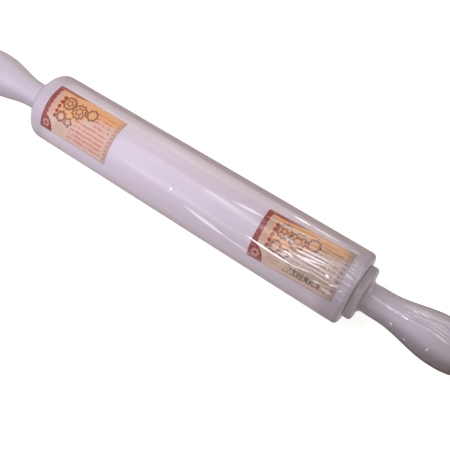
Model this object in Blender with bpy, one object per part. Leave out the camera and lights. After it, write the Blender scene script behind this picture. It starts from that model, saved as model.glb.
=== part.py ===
"""A plastic rolling pin whose barrel turns on ball bearings between two fixed handles.

The barrel lies along X with its underside on Z = 0. A steel axle passes through it and
carries an inner bearing ring, a spacer bush and a handle at each end, held by a nut in
the handle's end socket. The barrel carries the outer rings, their shields and the
retaining rings, so the barrel turns while the hands hold the handles still.
"""

from math import cos, pi, radians, sin, sqrt

import bmesh
import bpy
from mathutils import Matrix, Vector

# Running and seating clearance between neighbouring pieces
GAP = 0.0003

# Barrel
BARREL_LENGTH = 0.381
BARREL_DIAMETER = 0.075
BARREL_EDGE_ROUND = 0.0042
BARREL_BORE = 0.020
BARREL_MOUTH_CHAMFER = 0.0006
BARREL_FACETS = 44

# Printed labels, wrapped on the barrel
LABEL_LENGTH = 0.087
LABEL_WIDTH = 0.050
LABEL_THICKNESS = 0.00025
LABEL_INSET_LEFT = 0.018
LABEL_INSET_RIGHT = 0.014
LABEL_TURN_LEFT = radians(62)
LABEL_TURN_RIGHT = radians(65)

# Ball bearing, one in each end of the barrel
BEARING_BORE = 0.012
BEARING_OUTSIDE = 0.028
BEARING_WIDTH = 0.008
BEARING_INSET = 0.0045
BEARING_EDGE = 0.0003
RING_WALL = 0.0025
BALL_DIAMETER = 0.00476
BALL_COUNT = 8
RACE_CLEARANCE = 0.0002
SHIELD_THICKNESS = 0.0004
SHIELD_SEAT_DEPTH = 0.0009
SHIELD_SEAT_WALL = 0.0012
CAGE_SIDE_CLEARANCE = 0.0004
CAGE_WEB = 0.0005
CAGE_POCKET_CLEARANCE = 0.00015
CAGE_FINGER_REACH = 0.0011
RING_FACETS = 20

# Retaining ring, sprung into a groove of the barrel in front of each bearing
RETAINER_THICKNESS = 0.0012
RETAINER_WALL = 0.0022
RETAINER_LUG_WALL = 0.0043
RETAINER_GROOVE_DEPTH = 0.0007
RETAINER_MOUTH = radians(24)
RETAINER_LUG_SPREAD = radians(20)
RETAINER_EYE = 0.0016
RETAINER_STEPS = 22
EYE_FACETS = 8

# Axle
AXLE_SHOULDER = 0.001
AXLE_END_DIAMETER = 0.010
AXLE_CHAMFER = 0.0008
AXLE_PROJECTION = 0.003

# Handle
END_PLAY = 0.0005
HANDLE_LENGTH = 0.1255
COLLAR_DIAMETER = 0.054
COLLAR_THICKNESS = 0.008
COLLAR_FRONT_ROUND = 0.0036
COLLAR_BACK_ROUND = 0.0006
NECK_DIAMETER = 0.0295
NECK_FILLET = 0.003
NECK_LENGTH = 0.020
SWELL_LENGTH = 0.056
BELLY_LENGTH = 0.005
GRIP_DIAMETER = 0.0466
HANDLE_FACETS = 32

# Fastening in the handle's end socket
NUT_ACROSS_FLATS = 0.017
NUT_HEIGHT = 0.008
NUT_BEVEL = 0.0008
SOCKET_ROOM = 0.0007
WASHER_THICKNESS = 0.0016
PLUG_LENGTH = 0.016
PLUG_WALL = 0.0018
PLUG_LEAD = 0.0006
PLUG_ROOM = 0.0038

# Fineness of the curves that are not whole turns
BARREL_EDGE_STEPS = 4
LABEL_STEPS = 14
RACE_STEPS = 4
CAGE_FACETS_PER_BALL = 3
BALL_DIVISIONS = 2
COLLAR_BACK_STEPS = 2
COLLAR_FRONT_STEPS = 3
NECK_FILLET_STEPS = 3
SWELL_STEPS = 7
HANDLE_DOME_STEPS = 6
PLUG_DOME_STEPS = 3
SHARP_ANGLE = radians(32)
WELD_DISTANCE = 1e-6

# Sizes that follow from the ones above
AXIS_HEIGHT = BARREL_DIAMETER / 2
BARREL_END = BARREL_LENGTH / 2
BEARING_CENTRE = BARREL_END - BEARING_INSET - BEARING_WIDTH / 2
BEARING_SEAT_DEPTH = BEARING_INSET + BEARING_WIDTH + GAP
PITCH_RADIUS = (BEARING_BORE + BEARING_OUTSIDE) / 4
RACE_RADIUS = BALL_DIAMETER / 2 + RACE_CLEARANCE
INNER_LAND = BEARING_BORE / 2 + RING_WALL
OUTER_LAND = BEARING_OUTSIDE / 2 - RING_WALL
HANDLE_FACE = BARREL_END + END_PLAY
SOCKET_RADIUS = NUT_ACROSS_FLATS / sqrt(3) + SOCKET_ROOM
PLUG_RADIUS = SOCKET_RADIUS - GAP
PLUG_START = HANDLE_LENGTH - PLUG_LENGTH
AXLE_TIP = PLUG_START - PLUG_ROOM
NUT_START = AXLE_TIP - AXLE_PROJECTION - NUT_HEIGHT
NUT_SEAT = NUT_START - WASHER_THICKNESS - 2 * GAP
END_DOME_START = COLLAR_THICKNESS + NECK_LENGTH + SWELL_LENGTH + BELLY_LENGTH

# Colours as (red, green, blue)
BARREL_COLOUR = (0.74, 0.69, 0.78)
HANDLE_COLOUR = (0.70, 0.66, 0.74)
LABEL_COLOUR = (0.80, 0.52, 0.40)
STEEL_COLOUR = (0.62, 0.62, 0.64)
CAGE_COLOUR = (0.82, 0.78, 0.66)


def clear_scene():
    for obj in list(bpy.data.objects):
        bpy.data.objects.remove(obj, do_unlink=True)


def make_material(name, colour, roughness, metallic=0.0, transmission=0.0):
    material = bpy.data.materials.new(name)
    material.use_nodes = True
    shader = material.node_tree.nodes["Principled BSDF"]
    shader.inputs["Base Color"].default_value = (*colour, 1.0)
    shader.inputs["Roughness"].default_value = roughness
    shader.inputs["Metallic"].default_value = metallic
    shader.inputs["Transmission Weight"].default_value = transmission
    material.diffuse_color = (*colour, 1.0)
    return material


def make_empty(name, location=(0, 0, 0), parent=None):
    empty = bpy.data.objects.new(name, None)
    empty.empty_display_size = 0.02
    empty.location = location
    empty.parent = parent
    bpy.context.scene.collection.objects.link(empty)
    return empty


def make_object(name, mesh, parent, location=(0, 0, 0), turned_round=False):
    """Turned round, a piece made for the +X end faces the -X end."""
    obj = bpy.data.objects.new(name, mesh)
    obj.parent = parent
    obj.location = location
    obj.rotation_euler = (0, 0, pi if turned_round else 0)
    bpy.context.scene.collection.objects.link(obj)
    return obj


def make_pair(name, mesh, parent, distance):
    make_object(name + "_right", mesh, parent, (distance, 0, 0))
    make_object(name + "_left", mesh, parent, (-distance, 0, 0), turned_round=True)


def finish_mesh(name, bm, material):
    bmesh.ops.remove_doubles(bm, verts=bm.verts, dist=WELD_DISTANCE)
    bmesh.ops.recalc_face_normals(bm, faces=bm.faces)
    mesh = bpy.data.meshes.new(name)
    bm.to_mesh(mesh)
    bm.free()
    mesh.shade_smooth()
    mesh.set_sharp_from_angle(angle=SHARP_ANGLE)
    mesh.materials.append(material)
    return mesh


def across_flats(radius, facets):
    """The corner radius of a polygon whose flats lie at the radius, as every hole has."""
    return radius / cos(pi / facets)


def arc(x, r, radius, start, end, steps):
    """Points of an arc about (x, r), its angles in degrees from +x towards +r."""
    points = []
    for i in range(steps + 1):
        angle = radians(start + (end - start) * i / steps)
        points.append((x + radius * cos(angle), r + radius * sin(angle)))
    return points


def turn(profile, facets):
    """Turns a profile of (x, r) points about X, with a flat of the polygon underneath."""
    bm = bmesh.new()
    tilt = pi / facets
    corners = [bm.verts.new((x, r * sin(tilt), r * cos(tilt))) for x, r in profile]
    edges = [bm.edges.new(pair) for pair in zip(corners, corners[1:])]
    if profile[0][1] > 0 or profile[-1][1] > 0:
        edges.append(bm.edges.new((corners[-1], corners[0])))
    bmesh.ops.spin(
        bm,
        geom=corners + edges,
        cent=(0, 0, 0),
        axis=(1, 0, 0),
        angle=2 * pi,
        steps=facets,
        use_merge=True,
    )
    return bm


def turned_mesh(name, profile, facets, material):
    return finish_mesh(name, turn(profile, facets), material)


def cut(mesh, cutter, material, operation="DIFFERENCE"):
    """The mesh after a Boolean with the cutter mesh, as a new mesh of the same name."""
    target = make_object(mesh.name, mesh, None)
    tool = make_object(mesh.name + "_cutter", cutter, None)
    modifier = target.modifiers.new("cut", "BOOLEAN")
    modifier.operation = operation
    modifier.object = tool
    bpy.context.view_layer.update()
    graph = bpy.context.evaluated_depsgraph_get()
    result = bmesh.new()
    result.from_object(target, graph)
    bpy.data.objects.remove(target)
    bpy.data.objects.remove(tool)
    return finish_mesh(mesh.name, result, material)


def barrel_end_profile():
    """The +X half of the barrel, from the middle of its outside to the middle of its bore."""
    n = BARREL_FACETS
    outside = BARREL_DIAMETER / 2
    seat = BEARING_OUTSIDE / 2 + GAP
    groove = seat + RETAINER_GROOVE_DEPTH
    groove_back = BARREL_END - BEARING_INSET
    groove_front = groove_back + RETAINER_THICKNESS + 2 * GAP
    mouth = BARREL_MOUTH_CHAMFER
    corner = (BARREL_END - BARREL_EDGE_ROUND, outside - BARREL_EDGE_ROUND)
    points = arc(*corner, BARREL_EDGE_ROUND, 90, 0, BARREL_EDGE_STEPS)
    points += [
        (BARREL_END, seat + mouth),
        (BARREL_END - mouth, seat),
        (groove_front, seat),
        (groove_front, groove),
        (groove_back, groove),
        (groove_back, seat),
        (BARREL_END - BEARING_SEAT_DEPTH, seat),
        (BARREL_END - BEARING_SEAT_DEPTH, BARREL_BORE / 2),
    ]
    return [(x, across_flats(r, n)) for x, r in points]


def make_barrel(parent, material):
    right = barrel_end_profile()
    left = [(-x, r) for x, r in reversed(right)]
    mesh = turned_mesh("barrel", right + left, BARREL_FACETS, material)
    make_object("roller_barrel", mesh, parent)


def make_label_mesh(turn, material):
    """A thin plate bent round the barrel, its middle at the angle turn above -Y."""
    inside = BARREL_DIAMETER / 2 + GAP
    outside = inside + LABEL_THICKNESS
    span = LABEL_WIDTH / inside
    half = LABEL_LENGTH / 2
    start = Matrix.Rotation(pi / 2 - turn - span / 2, 4, "X")
    bm = bmesh.new()
    outline = ((-half, inside), (half, inside), (half, outside), (-half, outside))
    corners = [bm.verts.new(start @ Vector((x, 0, r))) for x, r in outline]
    face = bm.faces.new(corners)
    bmesh.ops.spin(
        bm,
        geom=corners + list(face.edges) + [face],
        cent=(0, 0, 0),
        axis=(1, 0, 0),
        angle=span,
        steps=LABEL_STEPS,
    )
    return finish_mesh("label", bm, material)


def make_labels(parent, material):
    """The two labels, each stuck on by hand at its own distance from its barrel end."""
    left = LABEL_LENGTH / 2 + LABEL_INSET_LEFT - BARREL_END
    right = BARREL_END - LABEL_INSET_RIGHT - LABEL_LENGTH / 2
    left_mesh = make_label_mesh(LABEL_TURN_LEFT, material)
    right_mesh = make_label_mesh(LABEL_TURN_RIGHT, material)
    make_object("label_left", left_mesh, parent, (left, 0, 0))
    make_object("label_right", right_mesh, parent, (right, 0, 0))


def race(side):
    """A raceway groove across X, over the balls at side +1 and under them at side -1."""
    land = OUTER_LAND if side > 0 else INNER_LAND
    depth = abs(land - PITCH_RADIUS)
    reach = sqrt(RACE_RADIUS**2 - depth**2)
    points = []
    for i in range(RACE_STEPS + 1):
        x = -reach * cos(pi * i / RACE_STEPS)
        points.append((x, PITCH_RADIUS + side * sqrt(RACE_RADIUS**2 - x**2)))
    return points


def make_outer_rings(parent, material):
    n = RING_FACETS
    half = BEARING_WIDTH / 2
    outside = BEARING_OUTSIDE / 2
    shield_seat = outside - SHIELD_SEAT_WALL
    seat_floor = half - SHIELD_SEAT_DEPTH
    inner = [(-half, shield_seat), (-seat_floor, shield_seat), (-seat_floor, OUTER_LAND)]
    inner += race(+1)
    inner += [(seat_floor, OUTER_LAND), (seat_floor, shield_seat), (half, shield_seat)]
    profile = [(x, across_flats(r, n)) for x, r in inner]
    profile += [
        (half, outside - BEARING_EDGE),
        (half - BEARING_EDGE, outside),
        (BEARING_EDGE - half, outside),
        (-half, outside - BEARING_EDGE),
    ]
    mesh = turned_mesh("bearing_outer_ring", profile, n, material)
    make_pair("bearing_outer_ring", mesh, parent, BEARING_CENTRE)


def make_inner_rings(parent, material):
    n = RING_FACETS
    half = BEARING_WIDTH / 2
    bore = across_flats(BEARING_BORE / 2, n)
    profile = [
        (-half, INNER_LAND),
        *race(-1),
        (half, INNER_LAND),
        (half, bore + BEARING_EDGE),
        (half - BEARING_EDGE, bore),
        (BEARING_EDGE - half, bore),
        (-half, bore + BEARING_EDGE),
    ]
    mesh = turned_mesh("bearing_inner_ring", profile, n, material)
    make_pair("bearing_inner_ring", mesh, parent, BEARING_CENTRE)


def make_shields(parent, material):
    """A thin washer in each face of each bearing, its rim in the outer ring's seat."""
    n = RING_FACETS
    seat_floor = BEARING_WIDTH / 2 - SHIELD_SEAT_DEPTH
    back = seat_floor + GAP
    front = back + SHIELD_THICKNESS
    rim = BEARING_OUTSIDE / 2 - SHIELD_SEAT_WALL - GAP
    hole = across_flats(INNER_LAND + GAP, n)
    outer_profile = [(back, hole), (back, rim), (front, rim), (front, hole)]
    inner_profile = [(-x, r) for x, r in outer_profile]
    front_mesh = turned_mesh("bearing_front_shield", outer_profile, n, material)
    back_mesh = turned_mesh("bearing_back_shield", inner_profile, n, material)
    make_pair("bearing_front_shield", front_mesh, parent, BEARING_CENTRE)
    make_pair("bearing_back_shield", back_mesh, parent, BEARING_CENTRE)


def ball_place(index):
    """The centre of a ball on the pitch circle, the first one straight above the axle."""
    angle = 2 * pi * index / BALL_COUNT
    return Vector((0, -PITCH_RADIUS * sin(angle), PITCH_RADIUS * cos(angle)))


def make_cage_mesh(material):
    """A moulded crown: a ring with a web behind the balls and a spherical pocket for each."""
    n = CAGE_FACETS_PER_BALL * BALL_COUNT
    back = -BALL_DIAMETER / 2 - CAGE_POCKET_CLEARANCE - CAGE_WEB
    inside = across_flats(INNER_LAND + CAGE_SIDE_CLEARANCE, n)
    outside = OUTER_LAND - CAGE_SIDE_CLEARANCE
    front = CAGE_FINGER_REACH
    profile = [(back, inside), (back, outside), (front, outside), (front, inside)]
    blank = turned_mesh("bearing_cage", profile, n, material)
    pockets = bmesh.new()
    radius = BALL_DIAMETER / 2 + CAGE_POCKET_CLEARANCE
    for i in range(BALL_COUNT):
        place = Matrix.Translation(ball_place(i))
        bmesh.ops.create_icosphere(
            pockets,
            subdivisions=BALL_DIVISIONS,
            radius=radius,
            matrix=place,
        )
    return cut(blank, finish_mesh("pockets", pockets, material), material)


def make_cages(parents, cage_material, ball_material):
    """One cage and its balls for each bearing, each on its own axis."""
    cage = make_cage_mesh(cage_material)
    bm = bmesh.new()
    bmesh.ops.create_icosphere(bm, subdivisions=BALL_DIVISIONS, radius=BALL_DIAMETER / 2)
    ball = finish_mesh("bearing_ball", bm, ball_material)
    for side, parent in parents.items():
        make_object("bearing_cage_" + side, cage, parent, turned_round=side == "left")
        for i in range(BALL_COUNT):
            name = f"bearing_ball_{side}_{i + 1}"
            make_object(name, ball, parent, ball_place(i))


def polar(radius, angle):
    return (radius * sin(angle), radius * cos(angle))


def retainer_outline():
    """The open ring with a lug at each end of its mouth, as (y, z) points."""
    outside = BEARING_OUTSIDE / 2 + RETAINER_GROOVE_DEPTH
    inside = BEARING_OUTSIDE / 2 - RETAINER_WALL
    lug = BEARING_OUTSIDE / 2 - RETAINER_LUG_WALL
    mouth = RETAINER_MOUTH / 2
    lug_end = mouth + RETAINER_LUG_SPREAD
    shares = [i / RETAINER_STEPS for i in range(RETAINER_STEPS + 1)]
    outline = [polar(outside, mouth + 2 * (pi - mouth) * share) for share in shares]
    outline += [polar(lug, -mouth), polar(lug, -lug_end)]
    outline += [polar(inside, -lug_end - 2 * (pi - lug_end) * share) for share in shares]
    outline += [polar(lug, lug_end), polar(lug, mouth)]
    return outline


def retainer_eyes():
    """The round hole in each lug, as (y, z) points."""
    middle = BEARING_OUTSIDE / 2 - RETAINER_LUG_WALL / 2
    eyes = []
    for side in (-1, 1):
        y, z = polar(middle, side * (RETAINER_MOUTH + RETAINER_LUG_SPREAD) / 2)
        rim = [polar(RETAINER_EYE / 2, 2 * pi * i / EYE_FACETS) for i in range(EYE_FACETS)]
        eyes.append([(y + dy, z + dz) for dy, dz in rim])
    return eyes


def make_retainers(parent, material):
    bm = bmesh.new()
    for loop in [retainer_outline(), *retainer_eyes()]:
        corners = [bm.verts.new((0, y, z)) for y, z in loop]
        for pair in zip(corners, corners[1:] + corners[:1]):
            bm.edges.new(pair)
    bmesh.ops.triangle_fill(bm, edges=bm.edges, use_beauty=True, normal=(1, 0, 0))
    made = bmesh.ops.extrude_face_region(bm, geom=bm.faces[:])["geom"]
    front = [item for item in made if isinstance(item, bmesh.types.BMVert)]
    bmesh.ops.translate(bm, verts=front, vec=(RETAINER_THICKNESS, 0, 0))
    mesh = finish_mesh("retaining_ring", bm, material)
    make_pair("retaining_ring", mesh, parent, BARREL_END - BEARING_INSET + GAP)


def make_axle(parent, material):
    middle = BEARING_BORE / 2 + AXLE_SHOULDER
    seat = BEARING_BORE / 2 - GAP
    end = AXLE_END_DIAMETER / 2
    shoulder = BARREL_END - BEARING_SEAT_DEPTH
    step = HANDLE_FACE - GAP
    tip = HANDLE_FACE + AXLE_TIP
    right = [
        (shoulder - AXLE_CHAMFER, middle),
        (shoulder, middle - AXLE_CHAMFER / 2),
        (shoulder, seat),
        (step, seat),
        (step, end),
        (tip - AXLE_CHAMFER, end),
        (tip, end - AXLE_CHAMFER),
        (tip, 0),
    ]
    left = [(-x, r) for x, r in reversed(right)]
    mesh = turned_mesh("axle", left + right, RING_FACETS, material)
    make_object("axle", mesh, parent)


def make_bushes(parent, material):
    """The spacer between each inner ring and the handle's face."""
    start = BARREL_END - BEARING_INSET + GAP
    length = HANDLE_FACE - GAP - start
    bore = across_flats(BEARING_BORE / 2, RING_FACETS)
    wall = INNER_LAND - GAP
    profile = [(0, bore), (0, wall), (length, wall), (length, bore)]
    mesh = turned_mesh("spacer_bush", profile, RING_FACETS, material)
    make_pair("spacer_bush", mesh, parent, start)


def ease(share):
    return share * share * (3 - 2 * share)


def dome_points(start_radius, end_radius, steps):
    """Points of the handle's rounded end, a quarter ellipse, between two of its radii."""
    grip = GRIP_DIAMETER / 2
    reach = HANDLE_LENGTH - END_DOME_START
    first = sqrt(1 - (start_radius / grip) ** 2)
    last = sqrt(1 - (end_radius / grip) ** 2)
    points = []
    for i in range(steps + 1):
        share = first + (last - first) * sin(pi / 2 * i / steps)
        points.append((END_DOME_START + share * reach, grip * sqrt(max(0.0, 1 - share**2))))
    return points


def handle_outline():
    """The outside from the collar's face along the neck and the grip to the end socket."""
    collar = COLLAR_DIAMETER / 2
    neck = NECK_DIAMETER / 2
    grip = GRIP_DIAMETER / 2
    swell_start = COLLAR_THICKNESS + NECK_LENGTH
    back = COLLAR_BACK_ROUND
    front = COLLAR_FRONT_ROUND
    fillet = NECK_FILLET
    outline = arc(back, collar - back, back, 180, 90, COLLAR_BACK_STEPS)
    outline += arc(COLLAR_THICKNESS - front, collar - front, front, 90, 0, COLLAR_FRONT_STEPS)
    outline += arc(COLLAR_THICKNESS + fillet, neck + fillet, fillet, 180, 270, NECK_FILLET_STEPS)
    for i in range(SWELL_STEPS + 1):
        share = i / SWELL_STEPS
        outline.append((swell_start + SWELL_LENGTH * share, neck + (grip - neck) * ease(share)))
    outline += dome_points(grip, SOCKET_RADIUS, HANDLE_DOME_STEPS)
    return outline


def make_handles(parent, material):
    n = HANDLE_FACETS
    bore = across_flats(AXLE_END_DIAMETER / 2 + GAP, n)
    socket = across_flats(SOCKET_RADIUS, n)
    outline = handle_outline()
    profile = [(0, bore)] + outline[:-1]
    profile += [(outline[-1][0], socket), (NUT_SEAT, socket), (NUT_SEAT, bore)]
    mesh = turned_mesh("handle", profile, n, material)
    make_pair("handle", mesh, parent, HANDLE_FACE)


def make_washers(parent, material):
    bore = across_flats(AXLE_END_DIAMETER / 2 + GAP, RING_FACETS)
    outside = SOCKET_RADIUS - GAP
    front = WASHER_THICKNESS
    profile = [(0, bore), (0, outside), (front, outside), (front, bore)]
    mesh = turned_mesh("washer", profile, RING_FACETS, material)
    make_pair("washer", mesh, parent, HANDLE_FACE + NUT_SEAT + GAP)


def make_nuts(parent, material):
    """A hexagon whose corners a turned blank rounds off at both faces."""
    corner = NUT_ACROSS_FLATS / sqrt(3)
    flat = NUT_ACROSS_FLATS / 2
    clear = across_flats(corner, RING_FACETS)
    bore = across_flats(AXLE_END_DIAMETER / 2 + GAP, RING_FACETS)
    profile = [
        (0, bore),
        (0, flat),
        (NUT_BEVEL, clear),
        (NUT_HEIGHT - NUT_BEVEL, clear),
        (NUT_HEIGHT, flat),
        (NUT_HEIGHT, bore),
    ]
    blank = turned_mesh("nut", profile, RING_FACETS, material)
    hexagon = bmesh.new()
    place = Matrix.Translation((NUT_HEIGHT / 2, 0, 0)) @ Matrix.Rotation(pi / 2, 4, "Y")
    bmesh.ops.create_cone(
        hexagon,
        cap_ends=True,
        segments=6,
        radius1=corner,
        radius2=corner,
        depth=NUT_HEIGHT + 2 * NUT_BEVEL,
        matrix=place,
    )
    mesh = cut(blank, finish_mesh("hexagon", hexagon, material), material, "INTERSECT")
    make_pair("nut", mesh, parent, HANDLE_FACE + NUT_START)


def make_plugs(parent, material):
    """A hollow cap pressed into the socket, whose head carries on the handle's rounding."""
    n = RING_FACETS
    head = dome_points(PLUG_RADIUS, 0, PLUG_DOME_STEPS)
    inside = across_flats(PLUG_RADIUS - PLUG_WALL, n)
    ceiling = head[0][0] - PLUG_WALL
    profile = [
        (ceiling, 0),
        (ceiling, inside),
        (PLUG_START, inside),
        (PLUG_START, PLUG_RADIUS - PLUG_LEAD),
        (PLUG_START + PLUG_LEAD, PLUG_RADIUS),
        *head,
    ]
    mesh = turned_mesh("end_plug", profile, n, material)
    make_pair("end_plug", mesh, parent, HANDLE_FACE)


def main():
    clear_scene()
    plastic = make_material("barrel_plastic", BARREL_COLOUR, 0.28, transmission=0.1)
    handle_plastic = make_material("handle_plastic", HANDLE_COLOUR, 0.3)
    paper = make_material("label_paper", LABEL_COLOUR, 0.35)
    steel = make_material("axle_steel", STEEL_COLOUR, 0.3, metallic=1.0)
    bearing_steel = make_material("bearing_steel", STEEL_COLOUR, 0.12, metallic=1.0)
    cage_plastic = make_material("cage_plastic", CAGE_COLOUR, 0.45)

    axis = make_empty("roller_axis", (0, 0, AXIS_HEIGHT))
    handle_axis = make_empty("handle_spin_axis", parent=axis)
    cage_axes = {
        "right": make_empty("cage_right_axis", (BEARING_CENTRE, 0, 0), axis),
        "left": make_empty("cage_left_axis", (-BEARING_CENTRE, 0, 0), axis),
    }

    make_barrel(axis, plastic)
    make_labels(axis, paper)
    make_outer_rings(axis, bearing_steel)
    make_shields(axis, steel)
    make_retainers(axis, steel)
    make_cages(cage_axes, cage_plastic, bearing_steel)
    make_axle(handle_axis, steel)
    make_inner_rings(handle_axis, bearing_steel)
    make_bushes(handle_axis, steel)
    make_handles(handle_axis, handle_plastic)
    make_washers(handle_axis, steel)
    make_nuts(handle_axis, steel)
    make_plugs(handle_axis, handle_plastic)


main()
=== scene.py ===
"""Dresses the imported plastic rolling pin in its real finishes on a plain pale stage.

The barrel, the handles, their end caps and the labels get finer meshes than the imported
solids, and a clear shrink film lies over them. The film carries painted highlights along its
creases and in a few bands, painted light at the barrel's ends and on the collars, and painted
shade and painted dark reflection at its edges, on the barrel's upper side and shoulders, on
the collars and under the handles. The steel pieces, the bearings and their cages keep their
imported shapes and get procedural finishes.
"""

from math import atan2, cos, pi, radians, sin, sqrt

import bmesh
import bpy
from bpy.props import (
    FloatProperty,
    FloatVectorProperty,
    PointerProperty,
)
from mathutils import Euler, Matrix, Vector


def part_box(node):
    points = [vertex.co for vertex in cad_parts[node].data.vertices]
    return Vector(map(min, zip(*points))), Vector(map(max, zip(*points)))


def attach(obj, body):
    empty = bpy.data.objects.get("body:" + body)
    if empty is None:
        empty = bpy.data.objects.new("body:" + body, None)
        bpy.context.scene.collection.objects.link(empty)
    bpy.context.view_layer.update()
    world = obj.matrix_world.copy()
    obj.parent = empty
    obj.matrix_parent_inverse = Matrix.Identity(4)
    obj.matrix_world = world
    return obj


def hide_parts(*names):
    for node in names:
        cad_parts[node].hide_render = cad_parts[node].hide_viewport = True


bl_info = {
    "name": "Plastic rolling pin",
    "version": (1, 0, 0),
    "blender": (4, 5, 0),
    "location": "3D View > Sidebar > Rolling pin",
    "description": "Dresses a plastic rolling pin and sets it on a pale stage",
    "category": "Object",
}

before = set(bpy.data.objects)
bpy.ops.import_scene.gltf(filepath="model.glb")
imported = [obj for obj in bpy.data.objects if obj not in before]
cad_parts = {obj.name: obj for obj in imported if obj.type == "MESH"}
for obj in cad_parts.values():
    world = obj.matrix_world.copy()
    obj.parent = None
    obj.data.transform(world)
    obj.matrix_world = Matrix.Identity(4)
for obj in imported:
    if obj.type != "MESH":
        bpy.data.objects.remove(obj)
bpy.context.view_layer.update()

MM = 0.001

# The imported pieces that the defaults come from
BARREL_LOW, BARREL_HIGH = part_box("roller_barrel")
HANDLE_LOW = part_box("handle_right")[0]
PLUG_LOW, PLUG_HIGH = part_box("end_plug_right")
WASHER_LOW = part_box("washer_right")[0]
LABEL_BOXES = {side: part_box("label_" + side) for side in ("left", "right")}
AXIS_HEIGHT = (BARREL_LOW.z + BARREL_HIGH.z) / 2
BARREL_END = BARREL_HIGH.x
BARREL_RADIUS = (BARREL_HIGH.y - BARREL_LOW.y) / 2
HANDLE_FACE = HANDLE_LOW.x
HANDLE_REACH = PLUG_HIGH.x - HANDLE_LOW.x
SIDES = {"right": 1, "left": -1}

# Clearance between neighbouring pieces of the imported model
GAP = 0.3 * MM

# Bore of the barrel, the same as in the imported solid
BORE_RADIUS = 10.03 * MM
SEAT_RADIUS = 14.34 * MM
SEAT_DEPTH = 12.8 * MM
GROOVE_RADIUS = 15.04 * MM
GROOVE_BACK = 4.5 * MM
GROOVE_WIDTH = 1.8 * MM
MOUTH_CHAMFER = 0.6 * MM

# Inside of the handle and of its end cap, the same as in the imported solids
HANDLE_BORE = 5.33 * MM
SOCKET_RADIUS = 10.57 * MM
NUT_SEAT = WASHER_LOW.x - HANDLE_LOW.x - GAP
PLUG_RADIUS = 10.2 * MM
PLUG_WALL = 1.8 * MM
PLUG_LEAD = 0.6 * MM
GATE_RADIUS = 2.2 * MM
GATE_DEPTH = 0.35 * MM

# Fineness of the meshes
BARREL_SEGMENTS = 160
HANDLE_SEGMENTS = 120
CAP_SEGMENTS = 96
FILM_SEGMENTS = 240
HANDLE_FILM_SEGMENTS = 180
EDGE_STEPS = 10
FILLET_STEPS = 8
SWELL_STEPS = 26
BELLY_STEPS = 3
DOME_STEPS = 18
CAP_STEPS = 10
LABEL_CELL = 1.2 * MM
FILM_STEP = 2.4 * MM
FILM_NEAR_STEP = 0.8 * MM

# Spacing of the nodes in the node editor
NODE_ROWS = 6
NODE_COLUMN = 220
NODE_ROW = 260

# The labels' design in mm from the print's lower left corner, each rectangle as its lower
# left and its upper right corner
ROW_BOXES = (((36.0, 3.0), (79.5, 27.0)), ((57.0, 27.0), (79.5, 43.0)))
SMALL_ROW_BOX = ((18.2, 4.5), (31.0, 12.5))
BEAD_BOX = ((82.6, 4.0), (85.2, 44.0))
TUFT_BOX = ((41.0, 4.5), (73.0, 11.0))
STRIP_BOX = ((6.2, 17.0), (11.3, 44.0))
LEAF_BOX = ((11.8, 16.0), (17.4, 42.0))
SCALLOP_PITCH = 10.4
BEAD_PITCH = 4.3
SMALL_ROW_PITCH = 2.7

# Scalloped rings on the label: middle, radius, petals, depth and line width in mm
LABEL_RINGS = (
    ((23.0, 36.0), 6.4, 12, 0.6, 1.6),
    ((23.0, 36.0), 2.8, 5, 0.8, 1.3),
    ((37.5, 33.5), 7.1, 10, 0.7, 1.6),
    ((37.5, 33.5), 3.4, 6, 0.8, 1.3),
    ((52.0, 37.0), 5.4, 8, 0.6, 1.5),
    ((22.0, 20.5), 4.6, 8, 0.6, 1.9),
    ((32.0, 18.5), 3.6, 5, 0.9, 1.5),
)
ROSETTE = ((7.2, 6.8), 2.9, 6, 0.6, 1.5)

# What the two prints differ in
LABEL_ROWS = {
    "left": {"Row strength": 0.9, "Row pitch": 4.6, "Tufts": 0.0},
    "right": {"Row strength": 0.6, "Row pitch": 3.9, "Tufts": 0.9},
}

# Finishes: depth of each relief, the parting line's height as a multiple of the skin's
# relief, scale of the orange peel, roughness of rubbed spots, reach of red, green and blue
# light in milky plastic, and the tint of oil
SKIN_RELIEF = 0.02 * MM
STEEL_RELIEF = 0.01 * MM
INK_RELIEF = 0.01 * MM
FILM_RELIEF = 0.25 * MM
SEAM_HEIGHT = 3.0
PEEL_SCALE = 700.0
RUB = 0.08
MILK_SPREAD = (1.0, 0.8, 0.95)
OIL_TINT = (0.72, 0.66, 0.58)

# Wrinkle patterns, bumps that also show as painted highlight lines: scale along and across,
# thinness, scale of the patches and amount
WRINKLE_SETTINGS = ("Along", "Across", "Thinness", "Patches", "Amount")
FAN_WRINKLES = (3.5, 520.0, 0.06, 30.0, 0.74)
FINE_WRINKLES = (8.0, 300.0, 0.02, 26.0, 0.5)
SHORT_WRINKLES = (50.0, 900.0, 0.12, 50.0, 0.72)
HANDLE_WRINKLES = (8.0, 430.0, 0.07, 20.0, 0.72)

# Sectors of the film in degrees up from the front: start, end and softness. The upper
# highlight sector holds a painted highlight band, and the upper and under shade sectors hold
# painted shade.
FAN_SECTOR = (44.0, 96.0, 5.0)
SHORT_SECTOR = (66.0, 100.0, 6.0)
UPPER_HIGHLIGHT_SECTOR = (99.0, 118.0, 1.5)
UPPER_SHADE_SECTOR = (121.0, 156.0, 2.0)
GRIP_SECTOR = (66.0, 120.0, 8.0)
UNDER_SHADE_SECTOR = (-60.0, 32.0, 16.0)
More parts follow.
